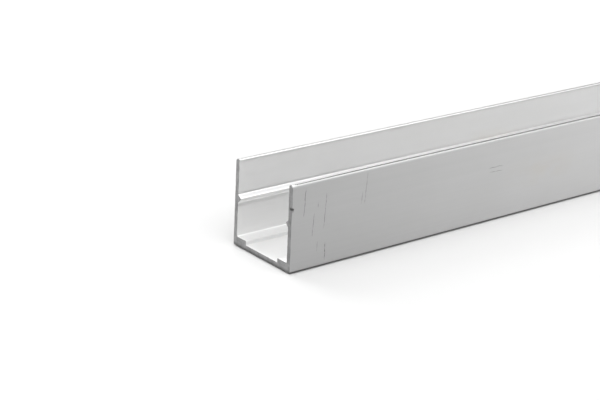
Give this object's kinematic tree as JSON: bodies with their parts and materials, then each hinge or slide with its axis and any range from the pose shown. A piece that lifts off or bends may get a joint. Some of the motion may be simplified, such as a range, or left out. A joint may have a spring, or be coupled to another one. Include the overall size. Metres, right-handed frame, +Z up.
{
  "type": "aluminium extrusion profile",
  "caption": "Straight extruded aluminium U channel with a snap rib along each inner wall and raised pads on its floor, cut square at both ends.",
  "frame": {"origin": "middle of the underside, halfway along the bar", "axes": "+X along the bar, +Z up towards the open side, +Y across to the other wall"},
  "size_m": [0.5, 0.02, 0.02],
  "materials": {
    "aluminium": "satin anodised, with bare saw-cut ends"
  },
  "bodies": {
    "root": {"channel": "aluminium"}
  },
  "joints": []
}
